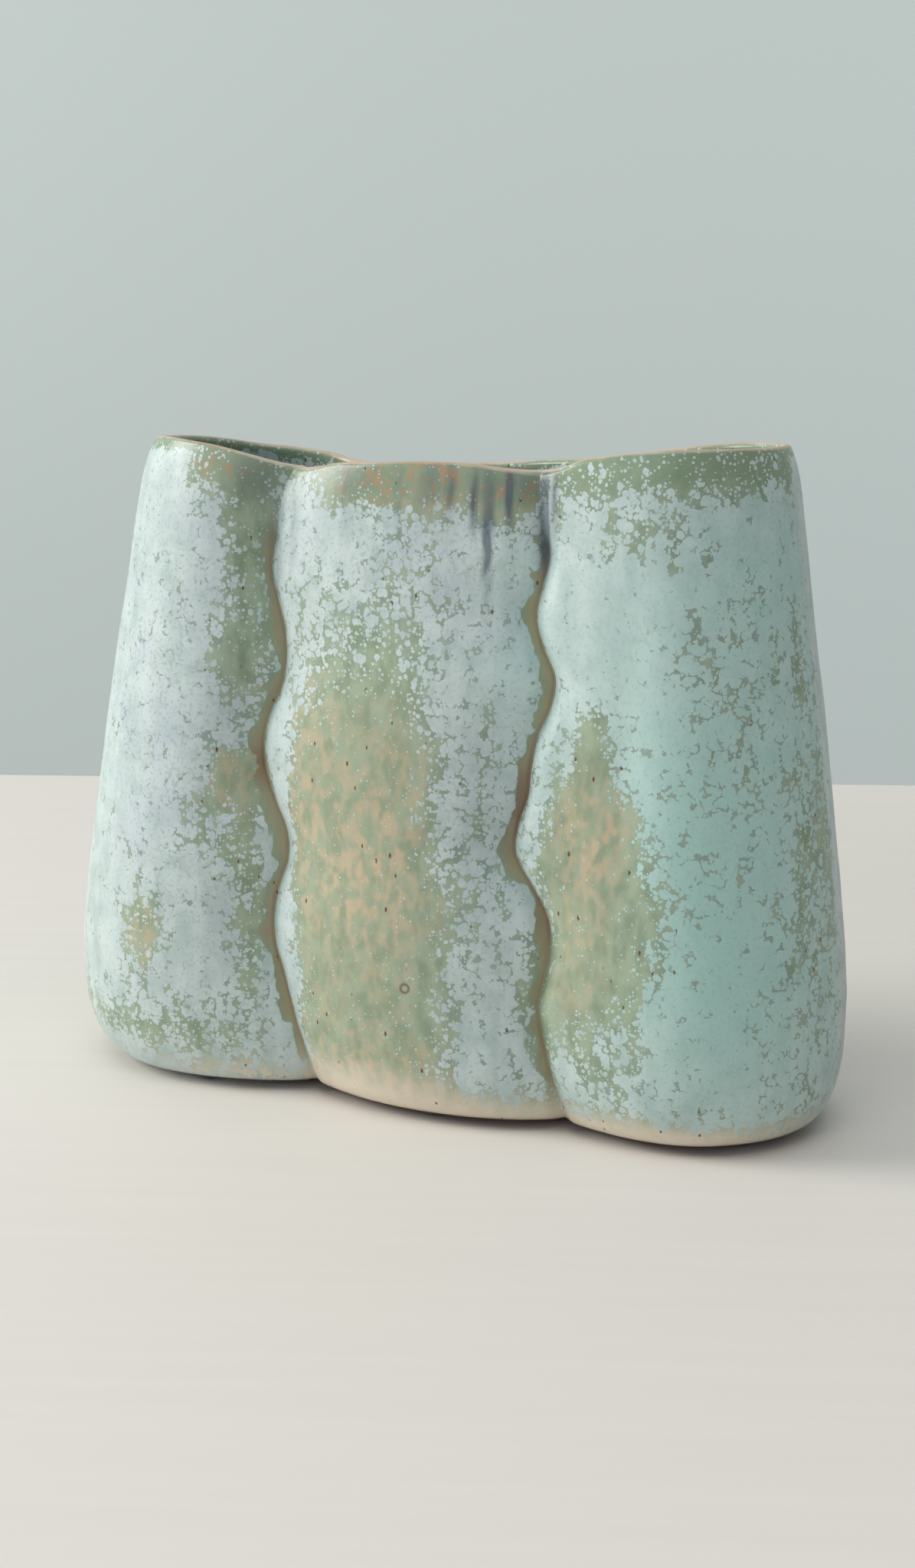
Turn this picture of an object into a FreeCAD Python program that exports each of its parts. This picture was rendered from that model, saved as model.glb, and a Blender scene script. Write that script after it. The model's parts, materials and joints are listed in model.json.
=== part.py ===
import FreeCAD, Part
import itertools
import math
import os
import Sketcher

# A hand-built pottery vase: a flattened fan of three lobes that stands on clear bumpers.
# It is made as the potter makes it: a floor slab, a bent slab for each end lobe and a bowed slab for the
# front and the back of the middle lobe. The slabs meet along four wavy, pinched seams, and one slanting
# cut trims the rim. Millimetres, +Z up, X along the vase, -Y to the front, the origin on the table.
os.makedirs("parts", exist_ok=True)
doc = FreeCAD.newDocument("fan_vase")
vector = FreeCAD.Vector

# Driving dimensions: name, value, what it is.
SIZES = (
    ("vase_height", "196", "highest point of the rim above the table"),
    ("belly_length", "247", "overall length at the belly"),
    ("belly_height", "39", "height of the widest section above the table"),
    ("vase_depth", "97", "front to back over the left lobe at the belly, where it is deepest"),
    ("right_depth_share", "0.907", "depth of the right lobe as a share of vase_depth"),
    ("centre_depth_share", "0.99", "depth of the middle lobe as a share of vase_depth"),
    ("crease_depth_share", "0.68", "front seam to back seam as a share of vase_depth"),
    ("left_seam_share", "0.286", "place of the left seams between the end lobes' middles"),
    ("right_seam_share", "0.3085", "place of the right seams, from the right lobe's middle"),
    ("seam_swing", "5", "how far a pinch moves a seam sideways"),
    ("left_lean_share", "0.113", "how far the left end leans in, as a share of belly_length"),
    ("right_lean_share", "0.081", "how far the right end leans in, as a share of belly_length"),
    ("left_depth_lean", "11.5", "how far the left lobe's front and back lean in from belly to rim"),
    ("right_depth_lean", "9", "the same for the right lobe"),
    ("centre_depth_lean", "10", "the same for the middle lobe"),
    ("crease_lean", "8", "the same for the seams"),
    ("lean_power", "1.18", "shape of the lean: 1 is straight, more is bellied"),
    ("left_shoulder", "4.5", "how far the left end curls in below the rim"),
    ("shoulder", "3", "how far every other side curls in below the rim"),
    ("shoulder_height", "17", "height of the curl below the rim"),
    ("left_foot_round", "13", "how far the underside is set in at the left end"),
    ("right_foot_round", "10", "how far the underside is set in at the right end"),
    ("foot_round", "9", "how far the underside is set in at the front and back"),
    ("foot_height", "24", "height of the rounding above the underside"),
    ("roll_radius", "9", "radius of the rolled edge beside a seam"),
    ("roll_angle", "80", "how far a rolled edge turns in from the front, in degrees"),
    ("wall", "5.5", "clay wall at the floor"),
    ("rim_wall", "3.2", "clay wall at the rim"),
    ("seam_clay", "1.5", "extra clay behind a seam"),
    ("floor_thickness", "7", "floor slab"),
    ("foot_lift", "2.5", "underside above the table, the height of a bumper"),
    ("rim_dip", "8", "how far the rim dips in front at the left seam"),
    ("rim_spare", "2", "clay above the rim before it is trimmed"),
    ("bumper_width", "10", "diameter of a clear bumper"),
    ("bumper_flat", "4", "diameter of its flattened tip"),
    ("bumper_edge", "0.5", "height of its straight edge"),
    ("bumper_inset", "1.5", "from a bumper to the edge of the flat underside"),
    ("left_bumper_angle", "81", "left bumpers: turn about the lobe's middle, in degrees"),
    ("right_bumper_angle", "41.5", "right bumpers: turn about the lobe's middle, in degrees"),
    ("overrun", "10", "how far a cutting tool stands clear"),
)

# Where the sections lie, as shares of the floor slab and of the wall above it.
FLOOR_LEVEL_SHARES = (0, 0.05, 0.2, 0.45, 0.72, 1)
WALL_LEVEL_SHARES = (
    0, 0.03, 0.065, 0.11, 0.155, 0.2, 0.245, 0.29, 0.335, 0.38, 0.425, 0.47, 0.515,
    0.56, 0.605, 0.65, 0.695, 0.74, 0.785, 0.83, 0.87, 0.91, 0.945, 0.975, 1)

# How far each section's seam is pinched to the right of its place, as a share of seam_swing.
LEFT_SWING_SHARES = (
    1.8, 1.6, 1.26, 0.8, 0.32, -0.22, -0.34, 0, 0.6, 0.56, -0.18, -0.82, -1.04,
    -0.7, 0.06, 0.4, 0.28, -0.16, -0.62, -0.52, -0.24, 0.3, 1, 1.4, 1.5)
RIGHT_SWING_SHARES = (
    1.4, 1.1, 0.8, 0.4, 0.2, 0.56, 0.82, 0.64, -0.3, -1.4, -1.34, -0.8, -0.64,
    -0.3, 0.4, 0.66, -0.1, -0.58, -0.24, 0.12, -0.18, -0.32, -0.4, -0.44, -0.44)

# How much of its quarter circle the curl below the rim uses.
CURL_SHARE = 0.96

# The rim's waves: place as a share of half the belly length, drop at the front and at the back as shares
# of rim_dip.
RIM_SHARES = (
    (-0.86, 0.04, 0.1), (-0.75, -0.04, 0.46), (-0.65, -0.18, 0.84), (-0.55, -0.04, 0.97),
    (-0.46, 0.15, 1.14), (-0.37, 0.48, 1.4), (-0.3, 0.81, 1.4), (-0.24, 0.97, 1.38), (-0.18, 0.72, 1.39),
    (-0.08, 0.64, 1.35), (0.04, 0.56, 1.26), (0.12, 0.55, 1.15), (0.19, 0.61, 1.05), (0.26, 0.79, 0.95),
    (0.32, 0.9, 0.84), (0.385, 0.76, 0.72), (0.445, 0.4, 0.6), (0.51, 0.24, 0.45), (0.64, 0.04, 0.25),
    (0.79, 0.01, 0.14), (0.93, 0.04, 0.1))

sizes = doc.addObject("Spreadsheet::Sheet", "Sizes")
for row, (alias, value, note) in enumerate(SIZES, start=1):
    sizes.set(f"A{row}", note)
    sizes.set(f"B{row}", value)
    sizes.setAlias(f"B{row}", alias)
doc.recompute()

# What follows from the driving dimensions for the vase as a whole. A seam keeps its place between the
# middle of its end lobe and the middle lobe when the vase is made longer or deeper.
WHOLE_FORMULAS = (
    ("right_lobe_depth", "Sizes.vase_depth * Sizes.right_depth_share"),
    ("centre_lobe_depth", "Sizes.vase_depth * Sizes.centre_depth_share"),
    ("crease_depth", "Sizes.vase_depth * Sizes.crease_depth_share"),
    ("left_middle", "(Sizes.belly_length - Sizes.vase_depth) / 2"),
    ("right_middle", "(Sizes.belly_length - right_lobe_depth) / 2"),
    ("left_seam", "left_middle - Sizes.left_seam_share"
                  " * sqrt(Sizes.vase_depth * (left_middle + right_middle))"),
    ("right_seam", "right_middle - Sizes.right_seam_share"
                   " * sqrt(right_lobe_depth * (left_middle + right_middle))"),
)

# What each section needs, worked out from the driving dimensions at its own height.
LEVEL_FORMULAS = (
    ("lean", "max(0; (height_{k} - Sizes.belly_height) / (Sizes.vase_height - Sizes.belly_height))"
             "^Sizes.lean_power"),
    ("foot", "1 - sqrt(1 - max(0; 1 - (height_{k} - Sizes.foot_lift) / Sizes.foot_height)^2)"),
    ("curl", f"1 - sqrt(1 - {CURL_SHARE} * min(1; max(0; 1 - (Sizes.vase_height - height_{{k}})"
             " / Sizes.shoulder_height))^2)"),
    ("roll_side", "Sizes.roll_radius * sin(Sizes.roll_angle * 1deg)"),
    ("roll_rise", "Sizes.roll_radius * (1 - cos(Sizes.roll_angle * 1deg))"),
    ("draw", "Sizes.foot_round * foot_{k} + Sizes.shoulder * curl_{k}"),
    ("left_reach", "Sizes.belly_length * (1 / 2 - Sizes.left_lean_share * lean_{k})"
                   " - Sizes.left_foot_round * foot_{k} - Sizes.left_shoulder * curl_{k}"),
    ("right_reach", "Sizes.belly_length * (1 / 2 - Sizes.right_lean_share * lean_{k})"
                    " - Sizes.right_foot_round * foot_{k} - Sizes.shoulder * curl_{k}"),
    ("left_radius", "Sizes.vase_depth / 2 - Sizes.left_depth_lean * lean_{k} - draw_{k}"),
    ("right_radius", "right_lobe_depth / 2 - Sizes.right_depth_lean * lean_{k} - draw_{k}"),
    ("crest", "centre_lobe_depth / 2 - Sizes.centre_depth_lean * lean_{k} - draw_{k}"),
    ("crease", "crease_depth / 2 - Sizes.crease_lean * lean_{k} - draw_{k}"),
    ("wall", "Sizes.rim_wall + (Sizes.wall - Sizes.rim_wall) * (Sizes.vase_height - height_{k})"
             " / (Sizes.vase_height - Sizes.foot_lift)"),
    ("inner_crease", "crease_{k} - wall_{k} - Sizes.seam_clay"),
    ("inner_crest", "crest_{k} - wall_{k}"),
    ("left_inner", "left_radius_{k} - wall_{k}"),
    ("right_inner", "right_radius_{k} - wall_{k}"),
    ("left_centre", "-(left_reach_{k} - left_radius_{k})"),
    ("right_centre", "right_reach_{k} - right_radius_{k}"),
    ("left_front", "-left_seam + Sizes.seam_swing * {left_swing}"),
    ("right_front", "right_seam + Sizes.seam_swing * {right_swing}"),
    ("left_back", "-left_seam - Sizes.seam_swing * {right_swing}"),
    ("right_back", "right_seam - Sizes.seam_swing * {left_swing}"),
)
# A sweep is the wide arc of a lobe: it starts level at the crest and runs into the rolled edge at a seam.
SWEEP_FORMULA = "(({run})^2 + ({drop})^2) / (2 * ({drop}))"
for lobe in ("left", "right"):
    for face in ("front", "back"):
        LEVEL_FORMULAS += ((f"{lobe}_{face}_sweep", "Sizes.roll_radius + " + SWEEP_FORMULA.format(
            run=f"abs({lobe}_{face}_{{k}} - {lobe}_centre_{{k}}) - roll_side_{{k}}",
            drop=f"{lobe}_radius_{{k}} - crease_{{k}} - roll_rise_{{k}}")),)
for face in ("front", "back"):
    LEVEL_FORMULAS += (
        (f"middle_{face}", f"(left_{face}_{{k}} + right_{face}_{{k}}) / 2"),
        (f"{face}_sweep", "Sizes.roll_radius + " + SWEEP_FORMULA.format(
            run=f"(right_{face}_{{k}} - left_{face}_{{k}}) / 2 - roll_side_{{k}}",
            drop="crest_{k} - crease_{k} - roll_rise_{k}")),
        (f"{face}_inner_sweep", SWEEP_FORMULA.format(
            run=f"(right_{face}_{{k}} - left_{face}_{{k}}) / 2",
            drop="inner_crest_{k} - inner_crease_{k}")),
    )

levels = doc.addObject("Spreadsheet::Sheet", "Levels")
level_rows = itertools.count(1)


def add_cell(name, formula):
    row = next(level_rows)
    levels.set(f"A{row}", "=" + formula)
    levels.setAlias(f"A{row}", name)


def add_level(key, height_formula, left_swing, right_swing):
    for name, formula in (("height", height_formula),) + LEVEL_FORMULAS:
        add_cell(f"{name}_{key}", formula.format(k=key, left_swing=left_swing, right_swing=right_swing))


for name, formula in WHOLE_FORMULAS:
    add_cell(name, formula)
for number, share in enumerate(FLOOR_LEVEL_SHARES):
    add_level(f"floor{number}", f"Sizes.foot_lift + Sizes.floor_thickness * {share}",
              LEFT_SWING_SHARES[0], RIGHT_SWING_SHARES[0])
for number, share in enumerate(WALL_LEVEL_SHARES):
    add_level(f"wall{number}", "Sizes.foot_lift + Sizes.floor_thickness + (Sizes.vase_height"
              f" + Sizes.rim_spare - Sizes.foot_lift - Sizes.floor_thickness) * {share}",
              LEFT_SWING_SHARES[number], RIGHT_SWING_SHARES[number])
doc.recompute()
FLOOR_KEYS = [f"floor{number}" for number in range(len(FLOOR_LEVEL_SHARES))]
WALL_KEYS = [f"wall{number}" for number in range(len(WALL_LEVEL_SHARES))]

START, END, CENTRE = 1, 2, 3
SIGN = {"front": -1, "back": 1, "left": -1, "right": 1}


def level(name, key):
    return levels.get(f"{name}_{key}")


def bind(sketch, kind, refs, name, key, sign=1):
    """Adds a constraint whose size is a cell of the level table."""
    index = sketch.addConstraint(Sketcher.Constraint(kind, *refs, sign * level(name, key)))
    sketch.setExpression(f"Constraints[{index}]", f"{sign} * Levels.{name}_{key}")


def pin(sketch, geometry, end, x_name, y_name, key, y_sign):
    bind(sketch, "DistanceX", (geometry, end), x_name, key)
    bind(sketch, "DistanceY", (geometry, end), y_name, key, y_sign)


def add_arc(sketch, centre, start, end):
    """Adds an arc that runs anticlockwise from start to end."""
    first = math.atan2(start.y - centre.y, start.x - centre.x)
    last = math.atan2(end.y - centre.y, end.x - centre.x)
    if last < first:
        last += 2 * math.pi
    circle = Part.Circle(centre, vector(0, 0, 1), (start - centre).Length)
    return sketch.addGeometry(Part.ArcOfCircle(circle, first, last), False)


def roll_into(corner, sweep_centre, sweep_radius, key):
    """Centre of the rolled edge that ends at a corner, and the point where it leaves the sweep."""
    inward = 1 if sweep_centre.x > corner.x else -1
    rise = sizes.get("roll_radius") - level("roll_rise", key)
    centre = vector(corner.x + inward * level("roll_side", key), corner.y - math.copysign(rise, corner.y), 0)
    outward = centre - sweep_centre
    return centre, sweep_centre + outward * (sweep_radius / outward.Length)


def join(sketch, arcs, smooth=True):
    """Ties each arc's end to the next one's start."""
    for before, after in zip(arcs, arcs[1:]):
        sketch.addConstraint(Sketcher.Constraint("Tangent" if smooth else "Coincident",
                                                 before, END, after, START))


def add_lobe(sketch, lobe, key):
    """The outside of an end lobe, anticlockwise: rolled edge, sweep, end, sweep, rolled edge."""
    radius = level(f"{lobe}_radius", key)
    centre = vector(level(f"{lobe}_centre", key), 0, 0)
    faces = ("back", "front") if lobe == "left" else ("front", "back")
    rolls, sweeps, crests = {}, {}, {}
    for face in faces:
        corner = vector(level(f"{lobe}_{face}", key), SIGN[face] * level("crease", key), 0)
        sweep = level(f"{lobe}_{face}_sweep", key)
        sweep_centre = vector(centre.x, SIGN[face] * (radius - sweep), 0)
        crests[face] = vector(centre.x, SIGN[face] * radius, 0)
        roll_centre, touch = roll_into(corner, sweep_centre, sweep, key)
        rolls[face] = (roll_centre, corner, touch)
        sweeps[face] = (sweep_centre, touch, crests[face])
    first, last = faces
    arcs = [
        add_arc(sketch, *rolls[first]),
        add_arc(sketch, *sweeps[first]),
        add_arc(sketch, centre, crests[first], crests[last]),
        add_arc(sketch, sweeps[last][0], crests[last], rolls[last][2]),
        add_arc(sketch, rolls[last][0], rolls[last][2], rolls[last][1]),
    ]
    join(sketch, arcs)
    bind(sketch, "DistanceX", (arcs[2], CENTRE), f"{lobe}_centre", key)
    sketch.addConstraint(Sketcher.Constraint("PointOnObject", arcs[2], CENTRE, -1))
    bind(sketch, "Radius", (arcs[2],), f"{lobe}_radius", key)
    for sweep_arc, face in ((arcs[1], first), (arcs[3], last)):
        sketch.addConstraint(Sketcher.Constraint("Vertical", sweep_arc, CENTRE, arcs[2], CENTRE))
        bind(sketch, "Radius", (sweep_arc,), f"{lobe}_{face}_sweep", key)
    for roll_arc, face, end in ((arcs[0], first, START), (arcs[4], last, END)):
        bind_roll(sketch, roll_arc)
        pin(sketch, roll_arc, end, f"{lobe}_{face}", "crease", key, SIGN[face])
    return arcs


def bind_roll(sketch, arc):
    index = sketch.addConstraint(Sketcher.Constraint("Radius", arc, sizes.get("roll_radius")))
    sketch.setExpression(f"Constraints[{index}]", "Sizes.roll_radius")


def add_lobe_inside(sketch, lobe, key):
    """The inside of an end lobe, anticlockwise: sweep, end, sweep."""
    radius = level(f"{lobe}_inner", key)
    centre = vector(level(f"{lobe}_centre", key), 0, 0)
    faces = ("back", "front") if lobe == "left" else ("front", "back")
    corners, crests, sweep_centres = {}, {}, {}
    for face in faces:
        corners[face] = vector(level(f"{lobe}_{face}", key), SIGN[face] * level("inner_crease", key), 0)
        crests[face] = vector(centre.x, SIGN[face] * radius, 0)
        run = corners[face].x - centre.x
        drop = radius - level("inner_crease", key)
        sweep = (run ** 2 + drop ** 2) / (2 * drop)
        sweep_centres[face] = vector(centre.x, SIGN[face] * (radius - sweep), 0)
    first, last = faces
    arcs = [
        add_arc(sketch, sweep_centres[first], corners[first], crests[first]),
        add_arc(sketch, centre, crests[first], crests[last]),
        add_arc(sketch, sweep_centres[last], crests[last], corners[last]),
    ]
    join(sketch, arcs)
    bind(sketch, "DistanceX", (arcs[1], CENTRE), f"{lobe}_centre", key)
    sketch.addConstraint(Sketcher.Constraint("PointOnObject", arcs[1], CENTRE, -1))
    bind(sketch, "Radius", (arcs[1],), f"{lobe}_inner", key)
    for arc, face, end in ((arcs[0], first, START), (arcs[2], last, END)):
        sketch.addConstraint(Sketcher.Constraint("Vertical", arc, CENTRE, arcs[1], CENTRE))
        pin(sketch, arc, end, f"{lobe}_{face}", "inner_crease", key, SIGN[face])
    return arcs


def add_panel(sketch, face, key):
    """The outside of the middle lobe, anticlockwise: rolled edge, sweep, rolled edge."""
    sides = ("left", "right") if face == "front" else ("right", "left")
    sweep = level(f"{face}_sweep", key)
    middle = level(f"middle_{face}", key)
    sweep_centre = vector(middle, SIGN[face] * (level("crest", key) - sweep), 0)
    rolls = []
    for side in sides:
        corner = vector(level(f"{side}_{face}", key), SIGN[face] * level("crease", key), 0)
        roll_centre, touch = roll_into(corner, sweep_centre, sweep, key)
        rolls.append((roll_centre, corner, touch))
    arcs = [
        add_arc(sketch, rolls[0][0], rolls[0][1], rolls[0][2]),
        add_arc(sketch, sweep_centre, rolls[0][2], rolls[1][2]),
        add_arc(sketch, rolls[1][0], rolls[1][2], rolls[1][1]),
    ]
    join(sketch, arcs)
    bind(sketch, "Radius", (arcs[1],), f"{face}_sweep", key)
    bind(sketch, "DistanceX", (arcs[1], CENTRE), f"middle_{face}", key)
    index = sketch.addConstraint(Sketcher.Constraint("DistanceY", arcs[1], CENTRE, sweep_centre.y))
    sketch.setExpression(f"Constraints[{index}]",
                         f"{SIGN[face]} * (Levels.crest_{key} - Levels.{face}_sweep_{key})")
    for roll_arc, side, end in ((arcs[0], sides[0], START), (arcs[2], sides[1], END)):
        bind_roll(sketch, roll_arc)
        pin(sketch, roll_arc, end, f"{side}_{face}", "crease", key, SIGN[face])
    return arcs


def add_panel_inside(sketch, face, key):
    sides = ("left", "right") if face == "front" else ("right", "left")
    sweep = level(f"{face}_inner_sweep", key)
    middle = level(f"middle_{face}", key)
    centre = vector(middle, SIGN[face] * (level("inner_crest", key) - sweep), 0)
    corners = [vector(level(f"{side}_{face}", key), SIGN[face] * level("inner_crease", key), 0)
               for side in sides]
    arc = add_arc(sketch, centre, *corners)
    bind(sketch, "Radius", (arc,), f"{face}_inner_sweep", key)
    for side, end in zip(sides, (START, END)):
        pin(sketch, arc, end, f"{side}_{face}", "inner_crease", key, SIGN[face])
    return [arc]


def add_line(sketch, start, end):
    """Adds a straight edge between two arc ends."""
    line = sketch.addGeometry(Part.LineSegment(sketch.getPoint(*start), sketch.getPoint(*end)), False)
    sketch.addConstraint(Sketcher.Constraint("Coincident", line, START, *start))
    sketch.addConstraint(Sketcher.Constraint("Coincident", line, END, *end))


def new_body(name):
    body = doc.addObject("PartDesign::Body", f"{name}_body")
    body.Label = f"{name}_body"
    return body


def new_sketch(body, name, plane_role):
    """Adds an empty sketch on one of the body's own planes."""
    sketch = body.newObject("Sketcher::SketchObject", name)
    plane = next(feature for feature in body.Origin.OriginFeatures if feature.Role == plane_role)
    sketch.AttachmentSupport = [(plane, "")]
    sketch.MapMode = "FlatFace"
    return sketch


def add_loft(body, label, draw, place, keys):
    """Adds a smooth loft through one drawn section for each level."""
    sketches = []
    for key in keys:
        sketch = new_sketch(body, f"{label}_{key}", "XY_Plane")
        sketch.setExpression("AttachmentOffset.Base.z", f"Levels.height_{key}")
        draw(sketch, place, key)
        sketches.append(sketch)
    feature = body.newObject("PartDesign::AdditiveLoft", f"{label}_loft")
    feature.Profile = sketches[0]
    feature.Sections = sketches[1:]
    body.Tip = feature


def draw_outline(sketch, faces, key):
    """The whole outline: both lobes, with a panel between them at the front and at the back."""
    for lobe in ("left", "right"):
        add_lobe(sketch, lobe, key)
    for face in faces:
        add_panel(sketch, face, key)


def draw_wall(sketch, outside, inside):
    """Joins the ends of the outside to those of the inside along the seam faces."""
    add_line(sketch, (outside[0], START), (inside[0], START))
    add_line(sketch, (outside[-1], END), (inside[-1], END))


def draw_lobe_wall(sketch, lobe, key):
    draw_wall(sketch, add_lobe(sketch, lobe, key), add_lobe_inside(sketch, lobe, key))


def draw_panel_wall(sketch, face, key):
    draw_wall(sketch, add_panel(sketch, face, key), add_panel_inside(sketch, face, key))


# The floor slab: the lowest sections, with the rounding of the foot.
floor = new_body("floor_slab")
add_loft(floor, "floor", draw_outline, ("front", "back"), FLOOR_KEYS)
floor.Label = "floor_slab"

# The four walls, still a little too tall.
WALLS = (
    ("left_lobe_wall", draw_lobe_wall, "left"),
    ("right_lobe_wall", draw_lobe_wall, "right"),
    ("centre_front_wall", draw_panel_wall, "front"),
    ("centre_back_wall", draw_panel_wall, "back"),
)
wall_bodies = {}
for name, draw, place in WALLS:
    wall_bodies[name] = new_body(name)
    add_loft(wall_bodies[name], name, draw, place, WALL_KEYS)
doc.recompute()

# The trimming cut: everything above a surface ruled between the front and the back wave of the rim.
half_length = sizes.get("belly_length") / 2
height, dip = sizes.get("vase_height"), sizes.get("rim_dip")
top = height + sizes.get("rim_spare") + sizes.get("overrun")
wave_wires = []
for face in ("front", "back"):
    shift = SIGN[face] * levels.get("centre_lobe_depth") / 2
    points = [vector(half_length * place, shift, height - dip * (front if face == "front" else back))
              for place, front, back in RIM_SHARES]
    wave = Part.BSplineCurve()
    wave.interpolate(points)
    upper = [vector(points[-1].x, shift, top), vector(points[0].x, shift, top)]
    sides = [Part.makeLine(*ends) for ends in ((points[-1], upper[0]), upper, (upper[1], points[0]))]
    wave_wire = doc.addObject("Part::Feature", f"rim_{face}")
    wave_wire.Shape = Part.Wire([wave.toShape()] + sides)
    wave_wires.append(wave_wire)
rim_cut = doc.addObject("Part::Loft", "rim_cut")
rim_cut.Sections = wave_wires
rim_cut.Solid = True
rim_cut.Ruled = True

nodes = [floor]
for name, body in wall_bodies.items():
    trimmed = doc.addObject("Part::Cut", name)
    trimmed.Label = name
    trimmed.Base = body
    trimmed.Tool = rim_cut
    nodes.append(trimmed)


def add_bumper(name, x_formula, y_formula):
    """A clear dome stuck under the floor slab, turned about its own axis."""
    body = new_body(name)
    sketch = new_sketch(body, f"{name}_profile", "XZ_Plane")
    radius, flat = sizes.get("bumper_width") / 2, sizes.get("bumper_flat") / 2
    rise, edge = sizes.get("foot_lift"), sizes.get("bumper_edge")
    tip, tip_edge = vector(0, 0, 0), vector(flat, 0, 0)
    brim, seat = vector(radius, rise - edge, 0), vector(radius, rise, 0)
    middle = vector(0, rise, 0)
    drop, run = rise - edge, radius - flat
    dome = add_arc(sketch, vector(flat, (drop ** 2 + run ** 2) / (2 * drop), 0), tip_edge, brim)
    lines = [sketch.addGeometry(Part.LineSegment(*ends), False)
             for ends in ((brim, seat), (seat, middle), (middle, tip), (tip, tip_edge))]
    for before, before_end, after, after_end in (
            (dome, END, lines[0], START), (lines[0], END, lines[1], START),
            (lines[1], END, lines[2], START), (lines[2], END, lines[3], START),
            (lines[3], END, dome, START)):
        sketch.addConstraint(Sketcher.Constraint("Coincident", before, before_end, after, after_end))
    sketch.addConstraint(Sketcher.Constraint("Coincident", lines[3], START, -1, START))
    for kind, line in (("Vertical", 0), ("Horizontal", 1), ("Vertical", 2), ("Horizontal", 3)):
        sketch.addConstraint(Sketcher.Constraint(kind, lines[line]))
    for kind, line, value, formula in (
            ("DistanceY", 0, edge, "Sizes.bumper_edge"),
            ("DistanceX", 1, -radius, "-Sizes.bumper_width / 2"),
            ("DistanceY", 2, -rise, "-Sizes.foot_lift"),
            ("DistanceX", 3, flat, "Sizes.bumper_flat / 2")):
        index = sketch.addConstraint(Sketcher.Constraint(kind, lines[line], START, lines[line], END, value))
        sketch.setExpression(f"Constraints[{index}]", formula)
    sketch.addConstraint(Sketcher.Constraint("Vertical", dome, CENTRE, dome, START))
    turned = body.newObject("PartDesign::Revolution", f"{name}_turned")
    turned.Profile = sketch
    turned.ReferenceAxis = (sketch, ["V_Axis"])
    turned.Angle = 360
    body.Tip = turned
    body.Label = name
    body.setExpression("Placement.Base.x", x_formula)
    body.setExpression("Placement.Base.y", y_formula)
    return body


for face in ("front", "back"):
    for lobe in ("left", "right"):
        ring = f"(Levels.{lobe}_radius_floor0 - Sizes.bumper_width / 2 - Sizes.bumper_inset)"
        turn = f"(Sizes.{lobe}_bumper_angle * 1deg)"
        nodes.append(add_bumper(f"bumper_{face}_{lobe}",
                                f"Levels.{lobe}_centre_floor0 + {ring} * cos{turn}",
                                f"{SIGN[face]} * {ring} * sin{turn}"))
    nodes.append(add_bumper(
        f"bumper_{face}_centre", f"Levels.middle_{face}_floor0",
        f"{SIGN[face]} * (Levels.crest_floor0 - Sizes.bumper_width / 2 - Sizes.bumper_inset)"))
doc.recompute()

for item in doc.Objects:
    if "Invalid" in item.State or "Error" in item.State:
        raise RuntimeError(f"{item.Label} did not build: {item.State}")
for node in nodes:
    if node.Shape.isNull() or not node.Shape.isValid() or not node.Shape.Solids:
        raise RuntimeError(f"{node.Label} has no sound shape")
for node in nodes:
    node.Shape.exportStep(f"parts/{node.Label}.step")
    print(node.Label, round(node.Shape.Volume / 1000, 2), "cm3", len(node.Shape.Faces), "faces")
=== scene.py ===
"""A hand-built fan vase: three pottery lobes under a crystalline glaze, on a table in soft daylight."""

import functools
import json
import math

import bmesh
import bpy
import numpy as np
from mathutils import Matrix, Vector, noise

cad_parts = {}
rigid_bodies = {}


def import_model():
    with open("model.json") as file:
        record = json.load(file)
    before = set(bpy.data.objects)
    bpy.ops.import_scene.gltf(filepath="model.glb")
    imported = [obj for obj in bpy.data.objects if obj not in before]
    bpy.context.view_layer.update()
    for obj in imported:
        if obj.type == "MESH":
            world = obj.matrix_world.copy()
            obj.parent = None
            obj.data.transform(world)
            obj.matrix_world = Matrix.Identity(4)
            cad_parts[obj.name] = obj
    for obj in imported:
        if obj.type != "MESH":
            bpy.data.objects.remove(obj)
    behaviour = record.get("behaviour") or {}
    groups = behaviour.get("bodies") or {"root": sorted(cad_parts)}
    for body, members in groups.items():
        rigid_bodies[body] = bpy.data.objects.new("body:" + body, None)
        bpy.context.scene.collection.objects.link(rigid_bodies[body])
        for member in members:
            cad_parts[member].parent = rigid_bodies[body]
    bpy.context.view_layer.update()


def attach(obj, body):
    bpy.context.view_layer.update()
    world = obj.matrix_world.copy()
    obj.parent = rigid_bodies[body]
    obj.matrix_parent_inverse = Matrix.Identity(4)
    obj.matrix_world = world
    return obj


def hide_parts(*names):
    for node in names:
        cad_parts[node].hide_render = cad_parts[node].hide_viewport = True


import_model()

bl_info = {
    "name": "Fan vase",
    "version": (1, 0, 0),
    "blender": (4, 5, 0),
    "location": "3D View > Sidebar > Fan vase",
    "description": "Builds the walls, floor, bumpers and stage of a hand-built fan vase",
    "category": "Add Mesh",
}

MM = 0.001

# The vase's own sizes in millimetres, as the solids have them.
VASE_HEIGHT, BELLY_LENGTH, BELLY_HEIGHT, VASE_DEPTH = 196, 247, 39, 97
RIGHT_DEPTH, CENTRE_DEPTH, CREASE_DEPTH = 0.907 * VASE_DEPTH, 0.99 * VASE_DEPTH, 0.68 * VASE_DEPTH
LEFT_LEAN, RIGHT_LEAN = 0.113 * BELLY_LENGTH, 0.081 * BELLY_LENGTH
LEFT_DEPTH_LEAN, RIGHT_DEPTH_LEAN, CENTRE_DEPTH_LEAN, CREASE_LEAN, LEAN_POWER = 11.5, 9, 10, 8, 1.18
LEFT_SHOULDER, SHOULDER, SHOULDER_HEIGHT, CURL_SHARE = 4.5, 3, 17, 0.96
LEFT_FOOT, RIGHT_FOOT, FOOT, FOOT_HEIGHT = 13, 10, 9, 24
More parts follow.
